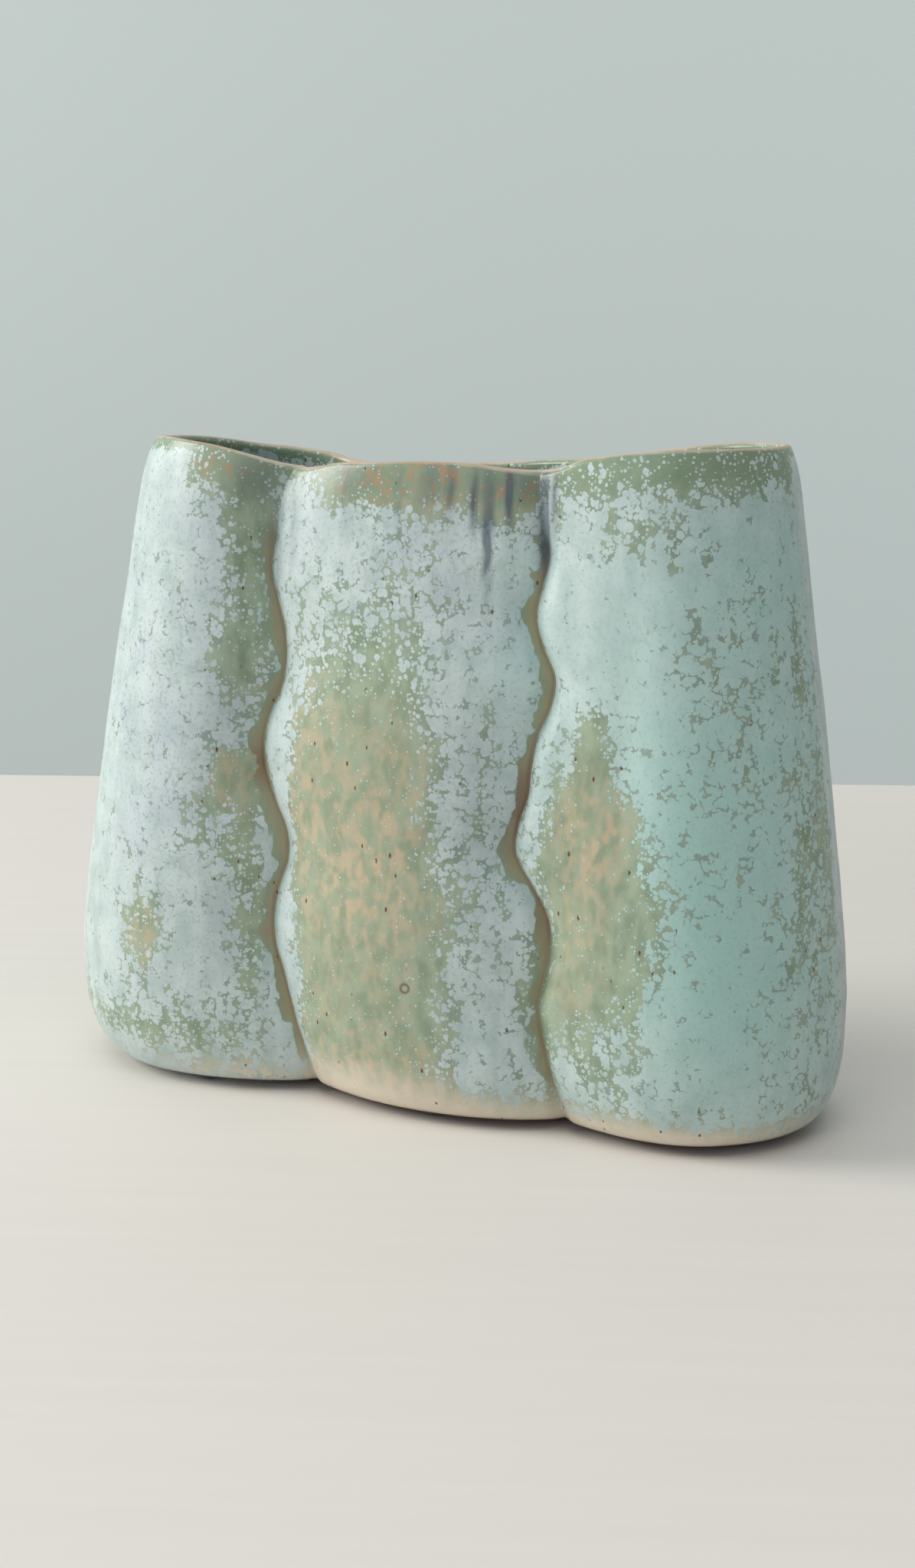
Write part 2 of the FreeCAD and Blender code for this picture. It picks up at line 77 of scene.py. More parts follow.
ROLL_RADIUS, ROLL_ANGLE = 9, math.radians(80)
WALL, RIM_WALL, SEAM_CLAY, FLOOR_TOP, UNDERSIDE = 5.5, 3.2, 1.5, 9.5, 2.5
SEAM_SWING, RIM_DIP, RIM_SPARE = 5, 8, 2
LEFT_MIDDLE, RIGHT_MIDDLE = (BELLY_LENGTH - VASE_DEPTH) / 2, (BELLY_LENGTH - RIGHT_DEPTH) / 2
SPAN = LEFT_MIDDLE + RIGHT_MIDDLE
LEFT_SEAM_SHARE, RIGHT_SEAM_SHARE = 0.286, 0.3085
LEFT_SEAM = LEFT_MIDDLE - LEFT_SEAM_SHARE * math.sqrt(VASE_DEPTH * SPAN)
RIGHT_SEAM = RIGHT_MIDDLE - RIGHT_SEAM_SHARE * math.sqrt(RIGHT_DEPTH * SPAN)

# Heights between which the seams fade into a smoothed fold, and how deep glaze and clay fill each.
FOLD_START, FOLD_END, FOLD_FILL, SEAM_FILL = 166, 181, 5, 2.6

# Heights of the seams' bends as shares of the wall, and how far each one swings, as shares of SEAM_SWING.
BENDS = (0, 0.03, 0.065, 0.11, 0.155, 0.2, 0.245, 0.29, 0.335, 0.38, 0.425, 0.47, 0.515,
         0.56, 0.605, 0.65, 0.695, 0.74, 0.785, 0.83, 0.87, 0.91, 0.945, 0.975, 1)
LEFT_SWINGS = (1.8, 1.6, 1.26, 0.8, 0.32, -0.22, -0.34, 0, 0.6, 0.56, -0.18, -0.82, -1.04,
               -0.7, 0.06, 0.4, 0.28, -0.16, -0.62, -0.52, -0.24, 0.3, 1, 1.4, 1.5)
RIGHT_SWINGS = (1.4, 1.1, 0.8, 0.4, 0.2, 0.56, 0.82, 0.64, -0.3, -1.4, -1.34, -0.8, -0.64,
                -0.3, 0.4, 0.66, -0.1, -0.58, -0.24, 0.12, -0.18, -0.32, -0.4, -0.44, -0.44)
# The rim's drops in front and at the back, as shares of RIM_DIP, at places from the left end, -1, to the
# right end, 1.
RIM_PLACES = (-0.86, -0.75, -0.65, -0.55, -0.46, -0.37, -0.3, -0.24, -0.18, -0.08, 0.04, 0.12, 0.19, 0.26,
              0.32, 0.385, 0.445, 0.51, 0.64, 0.79, 0.93)
RIM_FRONT_DROPS = (0.04, -0.04, -0.18, -0.04, 0.15, 0.48, 0.81, 0.97, 0.72, 0.64, 0.56, 0.55, 0.61, 0.79,
                   0.9, 0.76, 0.4, 0.24, 0.04, 0.01, 0.04)
RIM_BACK_DROPS = (0.1, 0.46, 0.84, 0.97, 1.14, 1.4, 1.4, 1.38, 1.39, 1.35, 1.26, 1.15, 1.05, 0.95,
                  0.84, 0.72, 0.6, 0.45, 0.25, 0.14, 0.1)


def curve_through(places, values, steps=12):
    """A smooth curve through a table of points, as a function of place."""
    places, values = np.array(places, float), np.array(values, float)
    slopes = np.gradient(values, places)
    dense_x, dense_y = [], []
    for i in range(len(places) - 1):
        gap = places[i + 1] - places[i]
        t = np.arange(steps) / steps
        dense_x.extend(places[i] + gap * t)
        dense_y.extend((2 * t ** 3 - 3 * t ** 2 + 1) * values[i] + (t ** 3 - 2 * t ** 2 + t) * gap * slopes[i]
                       + (3 * t ** 2 - 2 * t ** 3) * values[i + 1] + (t ** 3 - t ** 2) * gap * slopes[i + 1])
    dense_x.append(places[-1])
    dense_y.append(values[-1])
    return lambda x: np.interp(x, dense_x, dense_y)


left_swing = curve_through(BENDS, LEFT_SWINGS)
right_swing = curve_through(BENDS, RIGHT_SWINGS)
rim_front = curve_through(RIM_PLACES, RIM_FRONT_DROPS)
rim_back = curve_through(RIM_PLACES, RIM_BACK_DROPS)


def rim_height(x, y):
    """Height of the trimmed rim over a place, in millimetres."""
    place = x / (BELLY_LENGTH / 2)
    to_back = np.clip(y / CENTRE_DEPTH + 0.5, 0, 1)
    return VASE_HEIGHT - RIM_DIP * (rim_front(place) * (1 - to_back) + rim_back(place) * to_back)


def measures(z):
    """The sizes of the level section at a height, as the solids have them."""
    m = {}
    lean = np.maximum(0, (z - BELLY_HEIGHT) / (VASE_HEIGHT - BELLY_HEIGHT)) ** LEAN_POWER
    foot = 1 - np.sqrt(np.maximum(0, 1 - np.maximum(0, 1 - (z - UNDERSIDE) / FOOT_HEIGHT) ** 2))
    near_rim = np.clip(1 - (VASE_HEIGHT - z) / SHOULDER_HEIGHT, 0, 1)
    curl = 1 - np.sqrt(1 - CURL_SHARE * near_rim ** 2)
    draw = FOOT * foot + SHOULDER * curl
    wall = RIM_WALL + (WALL - RIM_WALL) * (VASE_HEIGHT - z) / (VASE_HEIGHT - UNDERSIDE)
    m["left_radius"] = VASE_DEPTH / 2 - LEFT_DEPTH_LEAN * lean - draw
    m["right_radius"] = RIGHT_DEPTH / 2 - RIGHT_DEPTH_LEAN * lean - draw
    m["crest"] = CENTRE_DEPTH / 2 - CENTRE_DEPTH_LEAN * lean - draw
    m["crease"] = CREASE_DEPTH / 2 - CREASE_LEAN * lean - draw
    m["wall"] = wall
    m["inner_crease"] = m["crease"] - wall - SEAM_CLAY
    m["left_centre"] = -(BELLY_LENGTH / 2 - LEFT_LEAN * lean - LEFT_FOOT * foot - LEFT_SHOULDER * curl
                         - m["left_radius"])
    m["right_centre"] = (BELLY_LENGTH / 2 - RIGHT_LEAN * lean - RIGHT_FOOT * foot - SHOULDER * curl
                         - m["right_radius"])
    share = (z - FLOOR_TOP) / (VASE_HEIGHT + RIM_SPARE - FLOOR_TOP)
    left, right = SEAM_SWING * left_swing(share), SEAM_SWING * right_swing(share)
    m["left_front"], m["right_front"] = -LEFT_SEAM + left, RIGHT_SEAM + right
    m["left_back"], m["right_back"] = -LEFT_SEAM - right, RIGHT_SEAM - left
    return m


def bend(run, drop, roll, turn, share, roll_share):
    """A point of a sweep that starts level at a crest and ends in a rolled edge at a seam: its run and fall.

    share runs from 0 at the crest to 1 at the seam, and the roll takes the last roll_share of it.
    """
    inner_run, inner_drop = run - roll * np.sin(turn), drop - roll * (1 - np.cos(turn))
    touch = 2 * np.arctan2(inner_drop, inner_run)
    radius = (inner_run ** 2 + inner_drop ** 2) / (2 * inner_drop) + roll
    on_sweep = share <= 1 - roll_share
    angle = np.where(on_sweep, touch * share / (1 - roll_share),
                     touch + (turn - touch) * (share - 1 + roll_share) / max(roll_share, 1e-9))
    sweep_run, sweep_fall = radius * np.sin(angle), radius * (1 - np.cos(angle))
    roll_run = (radius - roll) * np.sin(touch) + roll * np.sin(angle)
    roll_fall = radius - (radius - roll) * np.cos(touch) - roll * np.cos(angle)
    return np.where(on_sweep, sweep_run, roll_run), np.where(on_sweep, sweep_fall, roll_fall)


# The columns of a lobe's wall: (part, share) from its back seam round the end to its front seam, and of a
# panel's wall from its left seam to its right one.
SWEEP_STEPS, END_STEPS, ROLL_SHARE = 38, 46, 0.4
LOBE_COLUMNS = ([("back", 1 - i / SWEEP_STEPS) for i in range(SWEEP_STEPS)]
                + [("end", i / END_STEPS) for i in range(END_STEPS)]
                + [("front", i / SWEEP_STEPS) for i in range(SWEEP_STEPS + 1)])
PANEL_STEPS = 72
PANEL_COLUMNS = [(2 * i / PANEL_STEPS - 1) for i in range(PANEL_STEPS + 1)]


def soft_fold(depth, crease, z):
    """Depth of the outline once a thumb has smoothed the clay across the seams below the rim."""
    reach = np.clip((z - FOLD_START) / (FOLD_END - FOLD_START), 0, 1)
    reach = reach * reach * (3 - 2 * reach)
    fill = SEAM_FILL + (FOLD_FILL - SEAM_FILL) * reach
    share = np.clip(0.5 + (depth - crease - fill) / (2 * fill), 0, 1)
    return depth * share + (crease + fill) * (1 - share) + fill * share * (1 - share)


def lobe_point(lobe, part, share, z, inside=False):
    """x and y of an end lobe's wall at a column's place and a height."""
    m = measures(z)
    out = -1 if lobe == "left" else 1
    radius = m[f"{lobe}_radius"] - (m["wall"] if inside else 0)
    centre = m[f"{lobe}_centre"]
    crease = m["inner_crease"] if inside else m["crease"]
    if part == "end":
        angle = math.pi * share
        return centre + out * radius * np.sin(angle), radius * np.cos(angle)
    side = 1 if part == "back" else -1
    run = np.abs(m[f"{lobe}_{part}"] - centre)
    if inside:
        x, fall = bend(run, radius - crease, 0, ROLL_ANGLE, share, 0)
    else:
        x, fall = bend(run, radius - crease, ROLL_RADIUS, ROLL_ANGLE, share, ROLL_SHARE)
        return centre - out * x, side * soft_fold(radius - fall, crease, z)
    return centre - out * x, side * (radius - fall)


def panel_point(face, place, z, inside=False):
    """x and y of the middle lobe's front or back wall, place from -1 at the left seam to 1 at the right."""
    m = measures(z)
    side = 1 if face == "back" else -1
    crest = m["crest"] - (m["wall"] if inside else 0)
    crease = m["inner_crease"] if inside else m["crease"]
    middle = (m[f"left_{face}"] + m[f"right_{face}"]) / 2
    run = (m[f"right_{face}"] - m[f"left_{face}"]) / 2
    if inside:
        x, fall = bend(run, crest - crease, 0, ROLL_ANGLE, abs(place), 0)
    else:
        x, fall = bend(run, crest - crease, ROLL_RADIUS, ROLL_ANGLE, abs(place), ROLL_SHARE)
        return middle + math.copysign(1, place) * x, side * soft_fold(crest - fall, crease, z)
    return middle + math.copysign(1, place) * x, side * (crest - fall)


WALL_ROWS, LIP_ROWS, LIP_HEIGHT, FLOOR_RINGS = 118, 8, 1.5, 15
# Rounds in which a wall's place at the rim and the rim's height over that place settle.
RIM_ROUNDS = 4
# Lengths of the long and the short waves that hands leave in a slab, the short ones' share, and how much
# closer together the long ones lie through the vase and up it.
LONG_WAVE, SHORT_WAVE, SHORT_SHARE, CLOSER_THROUGH, CLOSER_UP = 34, 13, 0.4, 1.3, 0.8
# Taken off each wave, so that they go inwards only.
WAVE_CREST = 0.7
# How much less the waves and dents push along the vase than through it.
PUSH_ALONG = 0.25
# Soft dents pressed into the front: place, height, half width, half height, depth, all in millimetres, and
# how many half widths they reach.
DENTS = ((71, 98, 7, 30, 1.6), (58, 84, 9, 24, 0.5), (74, 150, 8, 22, 0.6), (-60, 150, 8, 26, 0.6),
         (24, 160, 6, 20, 0.5))
DENT_REACH = 3


def hand_marks(points, wave_depth):
    """Moves points inwards, in the slow waves that hands leave in a slab, by about wave_depth at most."""
    moved = []
    for x, y, z in points:
        wave = noise.noise(Vector((x, y * CLOSER_THROUGH, z * CLOSER_UP)) / LONG_WAVE)
        wave += SHORT_SHARE * noise.noise(Vector((x, y, z)) / SHORT_WAVE)
        depth = wave_depth * (wave - WAVE_CREST)
        for place, height, half_width, half_height, dent in DENTS:
            far = ((x - place) / half_width) ** 2 + ((z - height) / half_height) ** 2
            if y < 0 and far < DENT_REACH ** 2:
                depth -= dent * math.exp(-far)
        length = math.hypot(x * PUSH_ALONG, y) or 1
        moved.append((x + x * PUSH_ALONG / length * depth, y + y / length * depth, z))
    return np.array(moved)


def top_of(point, columns, inside):
    """The height at which each column of a wall meets the trimmed rim."""
    tops = np.full(len(columns), float(VASE_HEIGHT))
    for _ in range(RIM_ROUNDS):
        for i, column in enumerate(columns):
            x, y = point(column, tops[i], inside)
            tops[i] = rim_height(float(x), float(y))
    return tops


def wall_grid(point, columns):
    """Rows of points over the outside, round the rim's lip and down the inside, and the rim's heights."""
    tops = {inside: top_of(point, columns, inside) for inside in (False, True)}
    faces = {}
    for inside in (False, True):
        grid = np.zeros((WALL_ROWS, len(columns), 3))
        for i, column in enumerate(columns):
            z = FLOOR_TOP + (tops[inside][i] - LIP_HEIGHT - FLOOR_TOP) * np.linspace(0, 1, WALL_ROWS)
            x, y = point(column, z, inside)
            grid[:, i] = np.column_stack([x, y, z])
        faces[inside] = grid
    outside, inner = faces[False], faces[True]
    rows = list(outside)
    middle, half = (outside[-1] + inner[-1]) / 2, (outside[-1] - inner[-1]) / 2
    for step in range(1, LIP_ROWS):
        angle = math.pi * step / LIP_ROWS
        row = middle + half * math.cos(angle)
        row[:, 2] += LIP_HEIGHT * math.sin(angle)
        rows.append(row)
    rows.extend(inner[::-1])
    return np.array(rows), tops[False]


# Soft patches of the glaze on the front: place, height, half width, half height, strength, in millimetres.
# Where the crystals stay away and the ground shows.
BARE_PATCHES = (
    (-16, 92, 20, 34, 0.85), (-8, 62, 24, 30, 0.8), (4, 112, 10, 20, 0.45), (-20, 30, 14, 18, 0.4),
    (-14, 144, 20, 18, 0.24), (8, 158, 12, 22, 0.22), (14, 45, 8, 30, 0.3), (4, 187, 34, 8, 0.85),
    (34, 182, 7, 9, 0.6), (2, 2, 40, 9, 1.1), (-6, 22, 20, 13, 0.6), (-35, 32, 5, 30, -0.6),
    (-38, 84, 5, 30, -0.6), (-50, 134, 9, 15, 0.5), (-49, 97, 8, 8, 0.8), (-60, 80, 8, 14, 0.3),
    (-80, 49, 9, 13, 0.5), (-84, 20, 18, 9, 0.2), (-46, 58, 6, 34, 0.35), (-47, 172, 7, 20, 0.6),
    (-54, 187, 10, 6, 0.45), (-104, 18, 14, 11, 0.22), (-62, 16, 16, 11, 0.32), (61, 82, 14, 26, 0.95),
    (60, 50, 12, 14, 0.6), (62, 112, 5, 12, 0.5), (84, 190, 32, 8, 0.5), (70, 172, 14, 8, 0.35),
    (92, 152, 20, 18, 0.16), (90, 118, 14, 20, 0.14), (84, 2, 34, 7, 1), (66, 26, 16, 12, 0.3),
    # (120, 100, 7, 80, 0.35), down the right end, is partly more gaps between the crystals and partly painted
    # shade on the side that faces away from the window lamp.
    (76, 62, 8, 22, 0.35), (46, 35, 6, 16, 0.4), (104, 110, 14, 40, 0.12), (120, 100, 7, 80, 0.35),
    (30, 105, 10, 50, 0.16), (72, 148, 16, 26, -0.2))
# Where the ground breaks from sage green to warm tan.
TAN_PATCHES = (
    (-24, 104, 16, 26, 0.8), (-10, 64, 24, 28, 0.9), (4, 96, 10, 24, 0.7), (-4, 12, 34, 16, 1),
    (84, 4, 30, 6, 0.7), (12, 184, 28, 7, 1), (-50, 97, 9, 9, 0.7), (-80, 49, 9, 12, 0.7),
    (-78, 36, 10, 8, 0.4), (62, 88, 11, 20, 1), (58, 58, 8, 18, 0.6), (-55, 188, 12, 4, 0.6))
# Where the crystals turn turquoise, and where lavender.
TURQUOISE_PATCHES = (
    (97, 98, 32, 58, 0.75), (84, 60, 22, 50, 0.3), (38, 140, 8, 26, 0.4), (106, 40, 18, 30, 0.5),
    (104, 165, 22, 20, 0.4), (70, 140, 22, 40, 0.15))
LAVENDER_PATCHES = (
    (-74, 120, 20, 70, 0.8), (0, 168, 40, 22, 0.7), (28, 95, 16, 60, 0.25), (-54, 80, 16, 50, 0.3))
# Dark runs of glaze below the rim and in the folds.
DARK_PATCHES = (
    (28.5, 171, 0.9, 14, 2), (24.5, 180, 0.8, 8, 1.3), (34, 182, 0.8, 9, 1.3), (43.5, 176, 1.4, 13, 2.2),
    (36, 185, 8, 5, 0.5), (47, 180, 1, 9, 1), (-33, 172, 1.2, 12, 0.5), (-14, 178, 1.5, 10, 0.4),
    (3, 181, 1, 8, 0.6), (18, 184, 1.2, 7, 0.8), (-40, 166, 3.5, 16, 0.6), (-46, 183, 8, 8, 0.5),
    (30, 88, 12, 30, 0.2), (-12, 186, 8, 6, 0.4), (12, 184, 4, 8, 0.5), (-50, 128, 8, 14, 0.25))
# Where the ribbons along the seams are bare brown clay.
BROWN_PATCHES = (
    (37, 97, 8, 12, 1), (46, 64, 8, 8, 0.6), (-45, 101, 8, 5, 0.9), (44, 168, 6, 10, 0.4),
    (-42, 40, 8, 20, 0.3), (46, 20, 8, 14, 0.3))
PATCHES = {"brown": BROWN_PATCHES, "bare": BARE_PATCHES, "tan": TAN_PATCHES, "turquoise": TURQUOISE_PATCHES,
           "lavender": LAVENDER_PATCHES, "dark": DARK_PATCHES}
# How sharply a patch ends, and how much weaker the patches are inside the vase.
PATCH_FALL, INSIDE_LOSS = 0.9, 0.7
# The glaze's ribbon along a seam is this many times narrower on the side that faces left: painted light,
# which keeps the side that faces the window lamp pale.
LEFT_FACING = 6
# How far from a seam and below the rim their glazes can reach, in millimetres.
SEAM_REACH, FAR_BELOW_RIM = 30, 100.0
# Where a wall meets the floor, its slope is taken from this far above and below.
SLOPE_STEP = 0.5
# Edges sharper than this stay sharp. A face whose normal is steeper than this share lies level.
SMOOTH_ANGLE, LEVEL_FACE = math.radians(50), 0.9
# Points closer than this are one.
MERGE_DISTANCE = 0.01


def spread(patches, points):
    """How strongly soft patches of the glaze reach points of the front, or turned about, of the back."""
    place = np.where(points[:, 1] > 0, -points[:, 0], points[:, 0])
    total = np.zeros(len(points))
    for x, z, half_width, half_height, strength in patches:
        far = ((place - x) / half_width) ** 2 + ((points[:, 2] - z) / half_height) ** 2
        total += strength * np.exp(-PATCH_FALL * far)
    return total


def seam_distances(row, facing_right):
    """Each point's way along its row to the nearer seam, stretched on the sides that face left: painted
    light.
    """
    along = np.concatenate([[0], np.cumsum(np.linalg.norm(np.diff(row, axis=0), axis=1))])
    first, last = (1 if faces else LEFT_FACING for faces in facing_right)
    return np.minimum(np.minimum(along * first, (along[-1] - along) * last), SEAM_REACH)


def add_masks(mesh, points, seam, below_rim, inside):
    """Keeps the glaze's masks as attributes of the mesh, for its material to read."""
    masks = {name: spread(patches, points) * (1 - INSIDE_LOSS * inside) for name, patches in PATCHES.items()}
    masks.update(seam=seam, below_rim=below_rim, inside=inside)
    for name, values in masks.items():
        layer = mesh.attributes.new(name, "FLOAT", "POINT")
        layer.data.foreach_set("value", np.asarray(values, dtype=np.float32))


def foot_normals(point, columns, wave_depth):
    """Outward normals where a wall stands on the floor, so that both shade as one."""
    lines = []
    for z in (FLOOR_TOP - SLOPE_STEP, FLOOR_TOP, FLOOR_TOP + SLOPE_STEP):
        line = [(*map(float, point(column, z)), z) for column in columns]
        lines.append(hand_marks(line, wave_depth))
    crossed = np.cross(np.gradient(lines[1], axis=0), lines[2] - lines[0])
    middle = len(columns) // 2
    outwards = 1 if crossed[middle, :2] @ (lines[1][middle, :2] - lines[1][0, :2]) > 0 else -1
    return outwards * crossed / np.linalg.norm(crossed, axis=1)[:, None]


def keep_normals(mesh, normals):
    """Remembers a wanted normal at each vertex, zero where the mesh's own will do."""
    layer = mesh.attributes.new("wanted_normal", "FLOAT_VECTOR", "POINT")
    layer.data.foreach_set("vector", np.asarray(normals, dtype=np.float32).ravel())


def use_normals(mesh):
    """Gives the upright faces the wanted normals at the vertices that have one."""
    wanted = [tuple(item.vector) for item in mesh.attributes["wanted_normal"].data]
    normals = [(0.0, 0.0, 0.0)] * len(mesh.loops)
    for face in mesh.polygons:
        if abs(face.normal.z) < LEVEL_FACE:
            for index in face.loop_indices:
                normals[index] = wanted[mesh.loops[index].vertex_index]
    mesh.normals_split_custom_set(normals)
    mesh.attributes.remove(mesh.attributes["wanted_normal"])


def deselect_all():
    """Leaves nothing selected, so that an operator acts only on what comes next."""
    for item in bpy.context.selected_objects:
        item.select_set(False)


def finish_piece(piece, node, material):
    """Shades a piece smooth, gives it its material and body, and hides the CAD node that it replaces."""
    deselect_all()
    piece.select_set(True)
    bpy.context.view_layer.objects.active = piece
    bpy.ops.object.shade_smooth_by_angle(angle=SMOOTH_ANGLE)
    use_normals(piece.data)
    piece.data.materials.clear()
    piece.data.materials.append(material)
    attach(piece, "root")
    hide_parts(node)


def close_wall(mesh, row_count, column_count):
    """Closes a folded sheet of rows into a solid wall, at its foot and at both seams."""
    work = bmesh.new()
    work.from_mesh(mesh)
    work.verts.ensure_lookup_table()
    last_row, last_column = row_count - 1, column_count - 1

    def at(row, column):
        """The corner of the sheet at a row and column."""
        return work.verts[row * column_count + column]

    for column in range(last_column):
        work.faces.new((at(0, column), at(0, column + 1), at(last_row, column + 1), at(last_row, column)))
    for column in (0, last_column):
        for row in range(row_count // 2):
            corners = (at(row, column), at(row + 1, column),
                       at(last_row - row - 1, column), at(last_row - row, column))
            work.faces.new(list(dict.fromkeys(corners)))
    bmesh.ops.recalc_face_normals(work, faces=work.faces)
    work.to_mesh(mesh)
    work.free()


def build_wall(node, point, columns, facing_right, material, wave_depth):
    """One slab wall, whose columns run from seam to seam."""
    rows, tops = wall_grid(point, columns)
    row_count, column_count = rows.shape[:2]
    points = rows.reshape(-1, 3)
    deselect_all()
    bpy.ops.mesh.primitive_grid_add(x_subdivisions=column_count - 1, y_subdivisions=row_count - 1, size=2)
    piece = bpy.context.object
    piece.name = piece.data.name = f"{node}_glazed"
    piece.data.vertices.foreach_set("co", (hand_marks(points, wave_depth) * MM).astype(np.float32).ravel())
    inside = np.zeros(row_count)
    inside[WALL_ROWS + LIP_ROWS // 2:] = 1
    seam = np.concatenate([seam_distances(row, facing_right) for row in rows])
    below_rim = np.maximum(np.tile(tops, row_count) - points[:, 2], 0)
    add_masks(piece.data, points, seam, below_rim, np.repeat(inside, column_count))
    normals = np.zeros(points.shape)
    normals[:column_count] = foot_normals(point, columns, wave_depth)
    keep_normals(piece.data, normals)
    close_wall(piece.data, row_count, column_count)
    finish_piece(piece, node, material)


def lobe(side):
    """The outline of an end lobe, as a function of column and height."""
    return lambda column, z, inside=False: lobe_point(side, *column, z, inside)


def panel(face):
    """The outline of the middle lobe's front or back, as a function of column and height."""
    return lambda place, z, inside=False: panel_point(face, place, z, inside)


# The whole outline at one level, anticlockwise from the left lobe's back seam.
OUTLINE = ((lobe("left"), LOBE_COLUMNS), (panel("front"), PANEL_COLUMNS[1:-1]),
           (lobe("right"), LOBE_COLUMNS[::-1]), (panel("back"), PANEL_COLUMNS[-2:0:-1]))


def floor_seams(points):
    """Level distance of each point to the nearest seam, stretched on the sides that face left: painted light.
    """
    nearest = np.full(len(points), float(SEAM_REACH))
    m = measures(points[:, 2])
    for face, side in (("front", -1), ("back", 1)):
        for end in ("left", "right"):
            across, deep = points[:, 0] - m[f"{end}_{face}"], points[:, 1] - side * m["crease"]
            nearest = np.minimum(nearest, np.hypot(across, deep) * np.where(across < 0, 1, LEFT_FACING))
    return nearest


def build_floor(material, wave_depth):
    """The floor slab, with the rounded foot of the whole outline: one ring of points for each level."""
    heights = UNDERSIDE + (FLOOR_TOP - UNDERSIDE) * np.linspace(0, 1, FLOOR_RINGS) ** 2
    rings = [[(*map(float, point(column, z)), z) for point, columns in OUTLINE for column in columns]
             for z in heights]
    points = np.array([ring + ring[:1] for ring in rings]).reshape(-1, 3)
    count = len(rings[0])
    deselect_all()
    bpy.ops.mesh.primitive_grid_add(x_subdivisions=count, y_subdivisions=FLOOR_RINGS - 1, size=2)
    piece = bpy.context.object
    piece.name = piece.data.name = "floor_slab_glazed"
    piece.data.vertices.foreach_set("co", (hand_marks(points, wave_depth) * MM).astype(np.float32).ravel())
    add_masks(piece.data, points, floor_seams(points), np.full(len(points), FAR_BELOW_RIM),
              np.zeros(len(points)))
    top_ring = np.concatenate([foot_normals(point, columns, wave_depth) for point, columns in OUTLINE])
    normals = np.zeros(points.shape)
    normals[-count - 1:] = np.concatenate([top_ring, top_ring[:1]])
    keep_normals(piece.data, normals)
    work = bmesh.new()
    work.from_mesh(piece.data)
    bmesh.ops.remove_doubles(work, verts=work.verts, dist=MERGE_DISTANCE * MM)
    open_edges = [edge for edge in work.edges if edge.is_boundary]
    bmesh.ops.holes_fill(work, edges=open_edges)
    bmesh.ops.recalc_face_normals(work, faces=work.faces)
    work.to_mesh(piece.data)
    work.free()
    finish_piece(piece, "floor_slab", material)


def linear(hex_colour):
    """A hex sRGB colour as Blender's linear red, green, blue and alpha."""
    values = [int(hex_colour[i:i + 2], 16) / 255 for i in (1, 3, 5)]
    return tuple(v / 12.92 if v <= 0.04045 else ((v + 0.055) / 1.055) ** 2.4 for v in values) + (1.0,)


def add_node(tree, kind, inputs=(), out=0, **settings):
    """Adds a node with its settings, gives its inputs their values or links, and returns an output.

    inputs is a table of sockets and what each gets, or what the first sockets get, in their order.
    """
    node = tree.nodes.new("ShaderNode" + kind)
    for name, value in settings.items():
        setattr(node, name, value)
    for key, value in inputs.items() if isinstance(inputs, dict) else enumerate(inputs):
        if isinstance(value, bpy.types.NodeSocket):
            tree.links.new(value, node.inputs[key])
        else:
            node.inputs[key].default_value = value
    return node.outputs[out] if node.outputs else None


def new_material(name):
    """An empty material, and what adds nodes to it."""
    material = bpy.data.materials.new(name)
    material.use_nodes = True
    material.node_tree.nodes.clear()
    return material, functools.partial(add_node, material.node_tree)


# Settings of nodes that the glaze uses often. TIMES_PLUS multiplies its first two values and adds the third,
# and SOFT_STEP leads from the first end of a range to the second, for 0 to 1 unless two more ends follow.
TIMES, PLUS, LESS, MOST = ({"operation": name} for name in ("MULTIPLY", "ADD", "SUBTRACT", "MAXIMUM"))
TIMES_PLUS = {"operation": "MULTIPLY_ADD"}
SOFT_STEP = {"interpolation_type": "SMOOTHSTEP"}
BLEND = {"data_type": "RGBA", "out": 2}
# The sockets of a node that blends colours: the upper colour's share, the lower colour and the upper one.
SHARE, LOWER, UPPER = 0, 6, 7
# Clouds in the glaze: name, size of their features in millimetres, detail, upright stretch and shift.
CLOUDS = (("slow", 17, 3, 1, 0), ("quick", 4.6, 3, 2.6, 40), ("streak", 6, 3, 5, 90), ("swell", 9, 2, 1, 7),
          ("upright", 4.4, 2, 1.7, 11), ("breaks", 3.1, 1, 1.5, 55), ("spots", 2.8, 1, 1.3, 66),
          ("tone", 8, 4, 1, 33), ("ripple", 2.6, 2, 1, 5))
CLOUD_ROUGHNESS = 0.55
# Round flakes of three sizes: share of the flake's width, shift, how far they reach in their cells where
# the glaze lies thick and where it lies thin, how much the cells differ, and how soft their edges are.
FLAKES = ((1, 0, 0.8, -0.4, 0.34, 0.025), (0.6, 30, 0.7, -0.43, 0.5, 0.04), (0.33, 60, 0.5, -0.49, 0.8, 0.06))
# Wanders of the flakes' edges: how many to a millimetre, and how far they go.
WANDERS_PER_MM, WANDER_REACH = 0.9, 0.55
# Iron specks: how many cells of them to a millimetre, the share of cells left empty, how much taller than
# wide they are, and from where to where in a cell they fade in.
SPECKS_PER_MM, EMPTY_SHARE, SPECK_STRETCH, SPECK_EDGE = 0.28, 0.4, 2, (0.13, 0.08)
# The burst bubble on the front: its place across and its height, and from where to where its outer and its
# inner edge fade in, in millimetres.
BUBBLE_PLACE, BUBBLE_OUTSIDE, BUBBLE_INSIDE = (8, 0, 42), (1.9, 1.4), (0.6, 1.1)
# Heights between which thin glaze shows the foot's cream, the foot's edge turns tan, and its underside is
# bare clay in the specks' dark brown: partly the clay, partly painted shade in the gap under the foot.
CREAM_HEIGHTS, EDGE_HEIGHTS, BARE_AND_SHADE_HEIGHTS = (22.0, 4.0), (5.5, 3.5), (3.3, 2.7)
# Glaze stands out by this much, in millimetres: the flakes and the ripples of the whole coat.
FLAKE_RELIEF, RIPPLE_RELIEF = 0.05, 0.1


